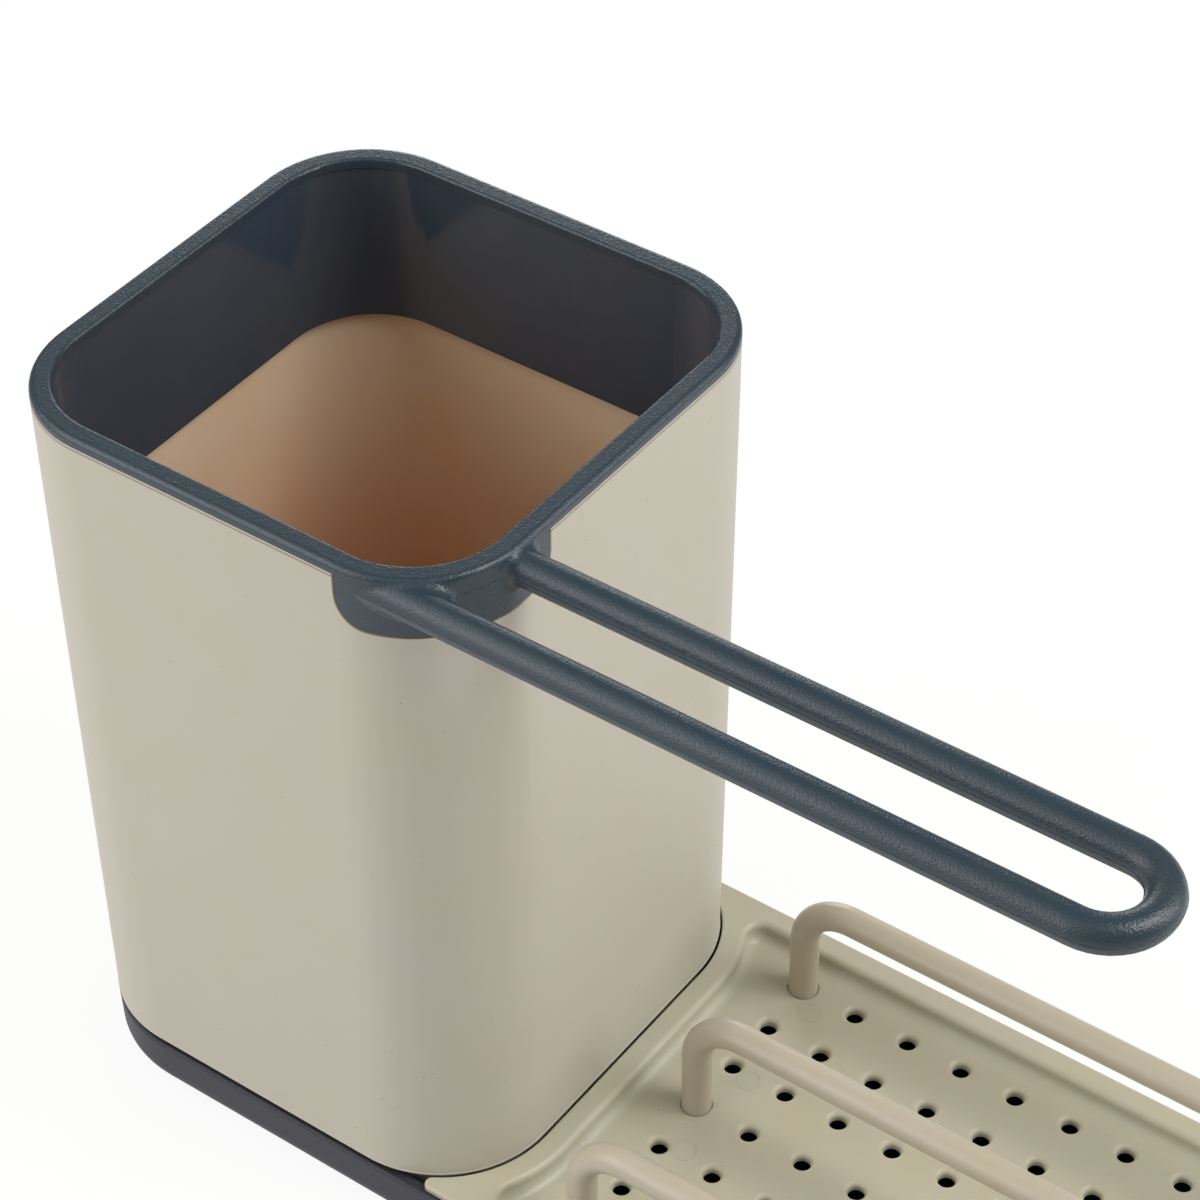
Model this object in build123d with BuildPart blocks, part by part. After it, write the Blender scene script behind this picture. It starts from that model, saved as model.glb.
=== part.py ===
from build123d import *
import os

# Sink organizer: a tall square pot with a slate rim collar and cloth rail stands at one end of a
# long slate tray. A perforated cream insert with three round bars fills the rest of the tray.
# Millimetres, +Z up. The origin lies on the standing surface, midway along the whole length.

# Whole object
overall_length = 266.0
running_gap = 0.4
cut_over = 2.0

# Slate tray that everything stands in
tray_margin = 0.5
tray_height = 11.6
tray_corner_radius = 25.0
tray_draft = 0.45
tray_wall = 2.2
tray_floor = 2.0
tray_under_fillet = 5.0
tray_inner_fillet = 2.8
tray_rim_round = 0.7
rest_rib_height = 3.0
rest_rib_thickness = 2.0
rest_rib_spacing = 50.0
stop_rib_height = 6.0
stop_rib_length = 16.0

# Soft feet pressed into the underside of the tray
foot_radius = 6.0
foot_seat_depth = 0.8
foot_proud = 0.8
foot_seat_gap = 0.15
foot_edge_round = 0.3
foot_inset_x = 30.0
foot_inset_y = 17.0

# Cream pot: it narrows slightly towards the foot, where its corners are rounder
pot_top_width = 100.0
pot_draft = 1.0
pot_top_radius = 21.7
pot_foot_radius = 23.4
pot_wall_height = 145.4
pot_wall = 2.2
pot_floor = 2.5
pot_foot_round = 0.6
pot_inner_fillet = 2.0
shadow_gap = 1.3
plinth_wall = 2.0
drain_hole_diameter = 4.0
drain_hole_pitch = 15.0
drain_hole_rows = 4
drain_gate_width = 30.0
drain_gate_height = 3.0

# Slate rim collar: bead, inner sleeve and corner tab
rim_height = 2.0
rim_outer_round = 1.1
rim_inner_round = 0.6
sleeve_depth = 33.0
sleeve_gap = 0.3
sleeve_wall = 1.2
sleeve_bottom_wall = 1.8
sleeve_step = 0.3
tab_depth = 10.3
tab_along_front = 22.0
tab_along_side = 29.2
tab_corner_radius = 6.0
tab_gap = 0.25
notch_chamfer = 0.35

# Slate cloth rail: two round rods joined by a half turn, one moulding with the collar
rail_diameter = 6.4
rail_spacing = 17.7
rail_drop = 4.2
rail_front_inset = 0.3
rail_end_inset = 40.7
rail_root_fillet = 2.0

# Cream drain insert
insert_lip = 1.3
insert_inset = 1.2
insert_edge_round = 0.4
insert_land = 4.8
insert_tip_radius = 1.4
cup_side_gap = 0.45
recess_depth = 4.0
recess_tip_radius = 3.0
recess_crest_round = 1.2
recess_floor_fillet = 2.2
insert_wall = 1.6
insert_floor = 1.8
hole_end_margin = 11.875
hole_side_margin = 6.75
hole_columns = 12
hole_rows = 7
hole_diameter = 3.3
hole_edge_round = 1.1

# Cream bars: round rod bent into long staples over every third row of holes
bar_diameter = 5.7
bar_height = 24.7
bar_bend_radius = 10.5
bar_row_step = 3
socket_gap = 0.3
socket_wall = 1.4
socket_boss_length = 2.5
socket_web = 0.8

standing = (Align.CENTER, Align.CENTER, Align.MIN)

# Places worked out from the sizes above
tray_bottom = foot_proud
tray_top = tray_bottom + tray_height
tray_floor_top = tray_bottom + tray_floor
land_top = tray_top + insert_lip
pot_foot = tray_top + shadow_gap
pot_top = pot_foot + pot_wall_height
rim_top = pot_top + rim_height

pot_foot_width = pot_top_width - 2 * pot_draft
tray_width = pot_foot_width + 2 * tray_margin
pot_x = -overall_length / 2 + pot_top_width / 2
tray_left = pot_x - tray_width / 2
tray_right = overall_length / 2
tray_length = tray_right - tray_left
tray_x = (tray_left + tray_right) / 2

plinth_bottom = tray_floor_top + rest_rib_height
plinth_half = tray_width / 2 - tray_wall - running_gap
plinth_radius = tray_corner_radius - tray_wall - running_gap

insert_right = tray_right - insert_inset
insert_width = tray_width - 2 * insert_inset
insert_radius = tray_corner_radius - insert_inset
recess_right = insert_right - insert_land
recess_width = insert_width - 2 * insert_land
recess_radius = insert_radius - insert_land
pot_clearance_half = pot_foot_width / 2 + cup_side_gap
recess_left = pot_x + pot_clearance_half + insert_land
recess_x = (recess_left + recess_right) / 2
hole_pitch_x = (recess_right - recess_left - 2 * hole_end_margin) / (hole_columns - 1)
hole_pitch_y = (recess_width - 2 * hole_side_margin) / (hole_rows - 1)
recess_top = land_top
recess_bottom = recess_top - recess_depth
insert_bottom = recess_bottom - insert_floor

sleeve_inset = pot_wall + sleeve_gap
rim_band = sleeve_inset + sleeve_wall + sleeve_step

bar_radius = bar_diameter / 2
bar_axis_top = recess_bottom + bar_height
bar_foot = recess_bottom - insert_floor - socket_boss_length + socket_web
bar_span = hole_pitch_x * (hole_columns - 1)
bar_left = recess_x - bar_span / 2
bar_right = recess_x + bar_span / 2
bar_row_spacing = hole_pitch_y * bar_row_step

rail_radius = rail_diameter / 2
rail_z = rim_top - rail_drop
rail_front_y = -pot_top_width / 2 + rail_front_inset + rail_radius
rail_back_y = rail_front_y + rail_spacing
rail_front_root_x = pot_x + pot_top_width / 2 - pot_top_radius + rail_radius
rail_back_root_x = pot_x + pot_top_width / 2 - pot_wall
rail_turn_x = tray_right - rail_end_inset - rail_radius - rail_spacing / 2


def pot_width_at(z):
    """Outer width of the pot at height z"""
    share = (z - pot_foot) / pot_wall_height
    return pot_foot_width + (pot_top_width - pot_foot_width) * share


def pot_radius_at(z):
    """Corner radius of the pot at height z"""
    share = (z - pot_foot) / pot_wall_height
    return pot_foot_radius + (pot_top_radius - pot_foot_radius) * share


def wall_depth(point):
    """Depth of a point under the pot's outer face, seen from above"""
    radius = pot_radius_at(point.Z)
    arc_centre = pot_width_at(point.Z) / 2 - radius
    x = abs(point.X - pot_x) - arc_centre
    y = abs(point.Y) - arc_centre
    if x > 0 and y > 0:
        return radius - (x**2 + y**2) ** 0.5
    return radius - max(x, y)


def square_loft(low, high, low_inset, high_inset, mode=Mode.ADD):
    """Upright body that follows the pot's outer face, set in by an inset at each end"""
    sections = []
    for z, inset in ((low, low_inset), (high, high_inset)):
        side = pot_width_at(z) - 2 * inset
        with BuildSketch(Plane.XY.offset(z)) as section:
            with Locations((pot_x, 0)):
                RectangleRounded(side, side, pot_radius_at(z) - inset)
        sections.append(section.sketch.face())
    loft(sections, ruled=True, mode=mode)


def insert_outline(right, width, far_radius, from_pot, tip_radius):
    """Outline that ends in the pot's outline on one side and in round corners on the other"""
    with Locations(((pot_x + right) / 2, 0)):
        RectangleRounded(right - pot_x, width, far_radius)
    side = pot_foot_width + 2 * from_pot
    with Locations((pot_x, 0)):
        RectangleRounded(side, side, pot_foot_radius + from_pot, mode=Mode.SUBTRACT)
    tips = vertices().sort_by(Axis.X)[:2]
    fillet(tips, radius=tip_radius)


def corner_block(gap):
    """Block round the front right corner of the pot that the collar's tab fills, less a gap"""
    with BuildPart() as block:
        with BuildSketch(Plane.XY.offset(pot_top - tab_depth + gap)):
            corner = (pot_x + pot_top_width / 2 + cut_over, -pot_top_width / 2 - cut_over)
            with Locations(corner):
                Rectangle(
                    tab_along_front + cut_over - gap,
                    tab_along_side + cut_over - gap,
                    align=(Align.MAX, Align.MIN),
                )
        extrude(amount=tab_depth + cut_over)
        low_edges = edges().group_by(Axis.Z)[0]
        inner_edges = [low_edges.sort_by(Axis.X)[0], low_edges.sort_by(Axis.Y)[-1]]
        fillet(inner_edges, radius=tab_corner_radius - gap)
    return block.part


notch_block = corner_block(0)
tab_block = corner_block(tab_gap)

# Slate tray
with BuildPart() as tray:
    for z, inset in ((tray_bottom, tray_draft), (tray_top, 0)):
        with BuildSketch(Plane.XY.offset(z)):
            with Locations((tray_x, 0)):
                RectangleRounded(
                    tray_length - 2 * inset, tray_width - 2 * inset, tray_corner_radius - inset
                )
    loft(ruled=True)
    fillet(edges().group_by(Axis.Z)[0], radius=tray_under_fillet)
    fillet(edges().group_by(Axis.Z)[-1], radius=tray_rim_round)
    with BuildSketch(Plane.XY.offset(tray_floor_top)):
        with Locations((tray_x, 0)):
            RectangleRounded(
                tray_length - 2 * tray_wall, tray_width - 2 * tray_wall, tray_corner_radius - tray_wall
            )
    extrude(amount=tray_height, mode=Mode.SUBTRACT)
    well_floor_edges = edges().filter_by(lambda e: abs(e.center().Z - tray_floor_top) < tray_floor / 100)
    fillet(well_floor_edges, radius=tray_inner_fillet)
    with BuildSketch(Plane.XY.offset(tray_floor_top)):
        with Locations((pot_x, 0)):
            with GridLocations(0, rest_rib_spacing, 1, 2):
                Rectangle(2 * (plinth_half - tray_inner_fillet), rest_rib_thickness)
    extrude(amount=rest_rib_height)
    with BuildSketch(Plane.XY.offset(tray_floor_top)):
        with Locations((pot_x + plinth_half + running_gap + rest_rib_thickness / 2, 0)):
            with GridLocations(0, rest_rib_spacing, 1, 2):
                Rectangle(rest_rib_thickness, stop_rib_length)
    extrude(amount=stop_rib_height)
    foot_spacing_x = tray_length - 2 * foot_inset_x
    foot_spacing_y = tray_width - 2 * foot_inset_y
    with Locations((tray_x, 0, tray_bottom)):
        with GridLocations(foot_spacing_x, foot_spacing_y, 2, 2):
            Cylinder(
                foot_radius + foot_seat_gap,
                foot_seat_depth,
                align=standing,
                mode=Mode.SUBTRACT,
            )
tray.part.label = "base_tray"

# Soft feet
foot_places = GridLocations(foot_spacing_x, foot_spacing_y, 2, 2).locations
foot_names = ["foot_left_front", "foot_left_back", "foot_right_front", "foot_right_back"]
feet = []
for place, foot_name in zip(foot_places, foot_names):
    with BuildPart() as foot:
        with Locations((tray_x + place.position.X, place.position.Y, 0)):
            Cylinder(
                foot_radius,
                foot_proud + foot_seat_depth,
                align=standing,
            )
        fillet(edges().group_by(Axis.Z)[0], radius=foot_edge_round)
    foot.part.label = foot_name
    feet.append(foot.part)

# Cream pot with its plinth, drained floor and the notch for the collar's tab
with BuildPart() as pot:
    square_loft(pot_foot, pot_top, 0, 0)
    fillet(edges().group_by(Axis.Z)[0], radius=pot_foot_round)
    square_loft(pot_foot + pot_floor, pot_top, pot_wall, pot_wall, mode=Mode.SUBTRACT)
    cavity_floor_edges = edges().filter_by(
        lambda e: abs(e.center().Z - pot_foot - pot_floor) < pot_floor / 100
    )
    fillet(cavity_floor_edges, radius=pot_inner_fillet)
    with BuildSketch(Plane.XY.offset(plinth_bottom)):
        with Locations((pot_x, 0)):
            RectangleRounded(2 * plinth_half, 2 * plinth_half, plinth_radius)
            offset(amount=-plinth_wall, mode=Mode.SUBTRACT)
    extrude(amount=pot_foot - plinth_bottom)
    with BuildSketch(Plane.XY.offset(pot_foot)):
        with Locations((pot_x, 0)):
            with GridLocations(drain_hole_pitch, drain_hole_pitch, drain_hole_rows, drain_hole_rows):
                Circle(drain_hole_diameter / 2)
    extrude(amount=pot_floor, mode=Mode.SUBTRACT)
    with BuildSketch(Plane.XY.offset(plinth_bottom)):
        with Locations((pot_x + plinth_half, 0)):
            Rectangle(2 * plinth_wall + cut_over, drain_gate_width)
    extrude(amount=drain_gate_height, mode=Mode.SUBTRACT)
    add(notch_block, mode=Mode.SUBTRACT)
    notch_edges = edges(Select.LAST).filter_by(lambda e: wall_depth(e.center()) < pot_wall / 2)
    notch_edges = notch_edges.filter_by(lambda e: e.center().Z < pot_top - notch_chamfer)
    chamfer(notch_edges, length=notch_chamfer)
pot.part.label = "brush_pot"


def on_rail_root(edge):
    """True for the edges where a rod of the rail meets the collar's outer face"""
    spot = edge @ 0.5
    across = min(abs(spot.Y - rail_front_y), abs(spot.Y - rail_back_y))
    off_axis = (across**2 + (spot.Z - rail_z) ** 2) ** 0.5
    return abs(off_axis - rail_radius) < rail_radius / 20 and abs(wall_depth(spot)) < rim_outer_round


# Slate collar: tab, bead and rail first, then the sleeve, hollowed last
with BuildPart() as collar:
    square_loft(pot_top - tab_depth, pot_top, 0, 0)
    add(tab_block, mode=Mode.INTERSECT)
    with BuildSketch(Plane.XY.offset(pot_top)):
        with Locations((pot_x, 0)):
            RectangleRounded(pot_top_width, pot_top_width, pot_top_radius)
    extrude(amount=rim_height)
    fillet(edges().group_by(Axis.Z)[-1], radius=rim_outer_round)
    with BuildLine(Plane.XY.offset(rail_z)) as rail_path:
        Line((rail_front_root_x, rail_front_y), (rail_turn_x, rail_front_y))
        ThreePointArc(
            (rail_turn_x, rail_front_y),
            (rail_turn_x + rail_spacing / 2, (rail_front_y + rail_back_y) / 2),
            (rail_turn_x, rail_back_y),
        )
        Line((rail_turn_x, rail_back_y), (rail_back_root_x, rail_back_y))
    with BuildSketch(Plane(origin=rail_path.line @ 0, z_dir=rail_path.line % 0)):
        Circle(rail_radius)
    sweep(path=rail_path.line)
    root_edges = edges().filter_by(on_rail_root)
    fillet(root_edges, radius=rail_root_fillet)
    square_loft(pot_top - sleeve_depth, pot_top, sleeve_inset, sleeve_inset)
    square_loft(
        pot_top - sleeve_depth,
        pot_top,
        sleeve_inset + sleeve_bottom_wall,
        sleeve_inset + sleeve_wall,
        mode=Mode.SUBTRACT,
    )
    with BuildSketch(Plane.XY.offset(pot_top)):
        with Locations((pot_x, 0)):
            mouth = pot_top_width - 2 * rim_band
            RectangleRounded(mouth, mouth, pot_top_radius - rim_band)
    extrude(amount=rim_height, mode=Mode.SUBTRACT)
    mouth_edges = edges(Select.LAST).group_by(Axis.Z)[-1]
    fillet(mouth_edges, radius=rim_inner_round)
collar.part.label = "rim_collar"

# Cream drain insert
all_places = GridLocations(hole_pitch_x, hole_pitch_y, hole_columns, hole_rows).locations
foot_columns = (-bar_span / 2, bar_span / 2)
foot_rows = (-bar_row_spacing, 0, bar_row_spacing)


def is_bar_foot(place):
    """True where a bar's foot takes the place of a drain hole"""
    x, y = place.position.X, place.position.Y
    near_x = min(abs(x - column) for column in foot_columns) < hole_diameter / 2
    near_y = min(abs(y - row) for row in foot_rows) < hole_diameter / 2
    return near_x and near_y


socket_bottom = insert_bottom - socket_boss_length
bar_feet_places = [(recess_x + x, y, socket_bottom) for x in foot_columns for y in foot_rows]
drain_places = [
    (recess_x + place.position.X, place.position.Y) for place in all_places if not is_bar_foot(place)
]


def on_crest(edge):
    """True for the edges between the land and the recess wall"""
    spot = edge.center()
    level = abs(spot.Z - recess_top) < insert_edge_round / 10
    outer = abs(spot.Y) > recess_width / 2 + insert_land / 2 or spot.X > recess_right + insert_land / 2
    return level and not outer


with BuildPart() as insert:
    with BuildSketch(Plane.XY.offset(tray_top)):
        insert_outline(insert_right, insert_width, insert_radius, cup_side_gap, insert_tip_radius)
    extrude(amount=insert_lip)
    fillet(edges().group_by(Axis.Z)[-1], radius=insert_edge_round)
    with BuildSketch(Plane.XY.offset(insert_bottom)):
        insert_outline(
            recess_right + insert_wall,
            recess_width + 2 * insert_wall,
            recess_radius + insert_wall,
            cup_side_gap + insert_land - insert_wall,
            recess_tip_radius + insert_wall,
        )
    extrude(amount=recess_top - insert_bottom - insert_edge_round)
    with BuildSketch(Plane.XY.offset(recess_bottom)):
        insert_outline(
            recess_right, recess_width, recess_radius, cup_side_gap + insert_land, recess_tip_radius
        )
    extrude(amount=recess_depth, mode=Mode.SUBTRACT)
    recess_edges = edges(Select.LAST)
    fillet(recess_edges.group_by(Axis.Z)[0], radius=recess_floor_fillet)
    crest_edges = edges().filter_by(on_crest)
    fillet(crest_edges, radius=recess_crest_round)
    with Locations(bar_feet_places):
        Cylinder(bar_radius + socket_gap + socket_wall, socket_boss_length, align=standing)
        with Locations((0, 0, socket_web)):
            socket_depth = insert_floor + socket_boss_length
            Cylinder(bar_radius + socket_gap, socket_depth, align=standing, mode=Mode.SUBTRACT)
    with BuildSketch(Plane.XY.offset(insert_bottom)):
        with Locations(drain_places):
            Circle(hole_diameter / 2)
    extrude(amount=insert_floor, mode=Mode.SUBTRACT)
    hole_edges = edges(Select.LAST).group_by(Axis.Z)[-1]
    fillet(hole_edges, radius=hole_edge_round)
insert.part.label = "drain_insert"

# Three bars
bar_names = ["bar_front", "bar_middle", "bar_back"]
bars = []
for row, bar_name in enumerate(bar_names):
    bar_y = (row - 1) * bar_row_spacing
    with BuildPart() as bar:
        with BuildLine(Plane.XZ.offset(-bar_y)) as bar_path:
            route = Polyline(
                (bar_left, bar_foot),
                (bar_left, bar_axis_top),
                (bar_right, bar_axis_top),
                (bar_right, bar_foot),
            )
            fillet(route.vertices().sort_by(Axis.Z)[-2:], radius=bar_bend_radius)
        with BuildSketch(Plane.XY.offset(bar_foot)):
            with Locations((bar_left, bar_y)):
                Circle(bar_radius)
        sweep(path=bar_path.line)
    bar.part.label = bar_name
    bars.append(bar.part)

os.makedirs("parts", exist_ok=True)
for piece in [tray.part, pot.part, collar.part, insert.part] + bars + feet:
    export_step(piece, f"parts/{piece.label}.step")
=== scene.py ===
"""Sink organizer: dresses the tray, the brush pot with its collar and cloth rail, and the drained stand."""

import math

import bpy
from bpy.props import FloatProperty, FloatVectorProperty, IntProperty, PointerProperty
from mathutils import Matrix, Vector


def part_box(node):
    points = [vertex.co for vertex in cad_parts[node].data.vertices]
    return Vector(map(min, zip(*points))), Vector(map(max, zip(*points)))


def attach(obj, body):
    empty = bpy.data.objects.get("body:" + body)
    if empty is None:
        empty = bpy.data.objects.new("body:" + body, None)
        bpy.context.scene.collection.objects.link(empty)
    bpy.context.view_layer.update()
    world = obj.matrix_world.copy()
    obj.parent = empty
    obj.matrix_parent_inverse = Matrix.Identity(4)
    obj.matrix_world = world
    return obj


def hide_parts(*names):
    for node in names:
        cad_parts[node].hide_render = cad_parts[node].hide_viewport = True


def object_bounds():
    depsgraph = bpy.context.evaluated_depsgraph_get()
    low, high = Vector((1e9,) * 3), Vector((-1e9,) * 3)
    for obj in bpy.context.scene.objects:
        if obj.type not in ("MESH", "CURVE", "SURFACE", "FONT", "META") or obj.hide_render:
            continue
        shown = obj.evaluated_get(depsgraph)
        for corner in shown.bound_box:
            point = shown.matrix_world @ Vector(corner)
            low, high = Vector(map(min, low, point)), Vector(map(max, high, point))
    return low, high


bl_info = {
    "name": "Sink organizer",
    "version": (1, 0, 0),
    "blender": (4, 5, 0),
    "location": "View3D > Sidebar > Organizer",
    "description": "Dresses a sink organizer round its packed model",
    "category": "Object",
}

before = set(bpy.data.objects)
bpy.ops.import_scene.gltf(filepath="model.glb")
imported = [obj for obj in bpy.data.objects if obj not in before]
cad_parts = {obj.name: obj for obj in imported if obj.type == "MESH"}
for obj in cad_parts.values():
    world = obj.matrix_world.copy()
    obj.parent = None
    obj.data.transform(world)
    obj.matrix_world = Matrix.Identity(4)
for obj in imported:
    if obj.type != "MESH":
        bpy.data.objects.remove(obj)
cad_low, cad_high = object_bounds()

MM = 0.001
POT_LOW, POT_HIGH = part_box("brush_pot")
COLLAR_LOW, COLLAR_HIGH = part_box("rim_collar")
# The insert's land and the foot of the pot's faces are level
LAND_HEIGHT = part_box("drain_insert")[1].z
# The bars' ends stand in sockets, under the floor of the insert's recess
BAR_END_DEPTH = 3.43 * MM
RECESS_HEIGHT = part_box("bar_back")[0].z + BAR_END_DEPTH
BARS = ("bar_front", "bar_middle", "bar_back")
FEET = tuple(name for name in sorted(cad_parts) if name.startswith("foot_"))
# Rows of the pin marks, across the insert
PIN_ROWS = tuple(row * MM for row in (-32, -10.7, 10.7, 32))
# Sides of a fine bead's section, of the pot's foot bead and of a ring seen from above
BEAD_SIDES = 8
FOOT_BEAD_SIDES = 24
RING_STEPS = 48
# A section's point lies on the seam when it is this near the middle, as a share of the radius
SEAM_SHARE = 0.02
# How far red, green and blue light travel in the cream, as shares of the glow depth
CREAM_SCATTER = (1, 0.6, 0.3)
SENSOR_WIDTH = 36
# Half of the floor's side, in metres
FLOOR_HALF = 6


# Settings

def srgb(red, green, blue):
    """Scene-linear colour of an sRGB colour given in 0 to 255"""
    def linear(level):
        share = level / 255
        return share / 12.92 if share <= 0.04045 else ((share + 0.055) / 1.055) ** 2.4
    return linear(red), linear(green), linear(blue)


def colour_setting(name, description, rgb):
    """Colour setting with an sRGB default"""
    return FloatVectorProperty(
        name=name, description=description, subtype="COLOR", size=3, min=0, max=1, default=srgb(*rgb)
    )


def length_setting(name, description, millimetres):
    """Length setting with a default in millimetres"""
    return FloatProperty(
        name=name, description=description, subtype="DISTANCE", unit="LENGTH", min=0,
        default=millimetres * MM, precision=5,
    )


def share_setting(name, description, share):
    """Setting from 0 to 1"""
    return FloatProperty(name=name, description=description, subtype="FACTOR", min=0, max=1, default=share)


def power_setting(name, description, watts):
    """Lamp power setting in watts"""
    return FloatProperty(name=name, description=description, unit="POWER", min=0, default=watts)


class OrganizerColours(bpy.types.PropertyGroup):
    """Colours of the mouldings, with painted warm bounce light and shade inside the pot, painted cool light in the
    sleeve and painted groove shade on the pot
    """

    pot: colour_setting("Pot", "Cream of the pot outside", (191, 185, 172))
    # Painted light: the two inside colours are cream with painted warm bounce light under the sleeve, deepening into
    # painted shade at the pot's floor
    pot_mouth_warm_bounce: colour_setting("Pot inside, high", "Cream inside the pot, under the sleeve", (226, 203, 172))
    pot_depth: colour_setting("Pot inside, low", "Cream inside the pot, at its floor", (220, 160, 118))
    insert: colour_setting("Insert", "Cream of the drained stand", (185, 180, 160))
    bar: colour_setting("Bars", "Cream of the bars", (184, 176, 158))
    collar: colour_setting("Collar", "Slate of the collar and the cloth rail", (45, 59, 70))
    # Painted light: the sleeve is the collar's own slate, made lighter and bluer to stand in for the cool reflected
    # light on its glossy walls
    sleeve: colour_setting("Sleeve", "Slate inside the collar's sleeve", (54, 64, 76))
    tray: colour_setting("Tray", "Slate of the tray", (39, 40, 50))
    foot: colour_setting("Feet", "Grey of the soft feet", (70, 70, 72))
    # Painted shade: this brown stands in for the shadow in the fine groove under the pot's top edge and on the notch's
    # chamfered edge
    seam: colour_setting("Pot seam", "Brown shade of the fine line under the pot's mouth", (128, 112, 90))
    speck: colour_setting("Specks", "Dark specks in the cream plastic", (120, 112, 96))


class OrganizerSizes(bpy.types.PropertyGroup):
    """Sizes of the pieces and marks that are made here"""

    pot_corner: length_setting("Pot corner", "Corner radius of the pot at its top, outside", 21.7)
    foot_corner: length_setting("Pot foot corner", "Corner radius of the pot at its foot, outside", 23.4)
    pot_lean: length_setting("Pot lean", "How far each face of the pot leans in, from its top to its foot", 1)
    pot_wall: length_setting("Pot wall", "Wall of the pot", 2.2)
    pot_base: length_setting("Pot base", "Thickness of the pot's floor", 2.5)
    pot_skin: length_setting("Pot skin", "Depth at which the pot's wall turns from outside to inside", 0.35)
    # The brown line on the notch's edge is painted shade of its chamfer; these two sizes place it
    notch_edge: length_setting("Notch edge", "Depth at which the brown line on the notch's edge begins", 0.12)
    notch_reach: length_setting("Notch reach", "How far under the pot's top that line may run", 12)
    seam_drop: length_setting("Pot seam drop", "How far the fine line runs under the pot's top edge", 0.55)
    seam_width: length_setting("Pot seam width", "Width of the fine line", 0.6)
    foot_bead: length_setting("Pot foot bead", "Thickness of the bead round the pot's foot", 1.2)
    foot_step: length_setting("Pot foot step", "How far that bead stands out from the pot's faces", 0.1)
    foot_drop: length_setting("Pot foot drop", "How far that bead reaches under the pot's faces", 0.5)
    rail_diameter: length_setting("Rail diameter", "Thickness of the cloth rail", 6.4)
    rail_spacing: length_setting("Rail spacing", "Distance between the rail's two rods", 17.7)
    rail_drop: length_setting("Rail drop", "Depth of the rail's centre under the rim's top", 4.2)
    rail_inset: length_setting("Rail inset", "Distance from the rim's front to the rail's front", 0.3)
    mould_line: length_setting("Mould line", "Thickness of the bead left along a mould's parting", 0.18)
    bar_diameter: length_setting("Bar diameter", "Thickness of the bars", 5.7)
    bar_bend: length_setting("Bar bend", "Radius of a bar's bend, at its centre", 10.5)
    bar_seam: length_setting("Bar seam", "How far a bar's parting stands proud", 0.03)
    bar_bead: length_setting("Bar bead", "Thickness of the bead sunk round each foot of a bar", 0.5)
    bar_bead_out: length_setting("Bar bead out", "How far that bead's centre stands off the bar's face", 0.1)
    bar_bead_drop: length_setting("Bar bead drop", "Depth of that bead's centre under the recess's floor", 0.4)
    pin_mark: length_setting("Pin mark", "Diameter of the rings that mould pins left on the insert", 4.6)
    pin_bead: length_setting("Pin bead", "Thickness of those rings' bead", 0.24)
    pin_inset: length_setting("Pin inset", "Distance of those rings' centres from the bars' ends", 7.5)
    round_steps: IntProperty(name="Round steps", description="Sides of a bar's section", min=16, default=64)
    bend_steps: IntProperty(name="Bend steps", description="Steps along each bend", min=4, default=14)


class OrganizerFinish(bpy.types.PropertyGroup):
    """Grain and gloss of the mouldings"""

    slate_grain: length_setting("Slate grain", "Width of the slate plastic's grain", 0.36)
    slate_depth: length_setting("Slate depth", "Height of that grain", 0.09)
    sleeve_grain: share_setting("Sleeve grain", "Share of the grain that shows inside the sleeve", 0.08)
    cream_grain: length_setting("Cream grain", "Width of the cream plastic's grain", 0.35)
    cream_depth: length_setting("Cream depth", "Height of that grain", 0.012)
    cream_glow: share_setting("Cream glow", "Share of light that passes through the cream's skin", 0.35)
    glow_depth: length_setting("Glow depth", "How far light travels in the cream", 1.5)
    mottle_size: length_setting("Mottle size", "Width of the cloudy shade changes", 18)
    plain_mottle: share_setting("Plain mottle", "Strength of those changes on the cream and the feet", 0.03)
    collar_mottle: share_setting("Collar mottle", "Strength of those changes on the collar and rail", 0.1)
    tray_mottle: share_setting("Tray mottle", "Strength of those changes on the tray", 0.06)
    speck_gap: length_setting("Speck gap", "Usual distance between specks", 5)
    speck_size: length_setting("Speck size", "Width of a speck", 0.25)
    collar_roughness: share_setting("Collar roughness", "Roughness of the collar and rail", 0.34)
    sleeve_roughness: share_setting("Sleeve roughness", "Roughness inside the sleeve", 0.12)
    tray_roughness: share_setting("Tray roughness", "Roughness of the tray", 0.55)
    pot_roughness: share_setting("Pot roughness", "Roughness of the pot", 0.5)
    insert_roughness: share_setting("Insert roughness", "Roughness of the insert", 0.38)
    bar_roughness: share_setting("Bar roughness", "Roughness of the bars", 0.34)
    foot_roughness: share_setting("Foot roughness", "Roughness of the feet", 0.8)


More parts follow.
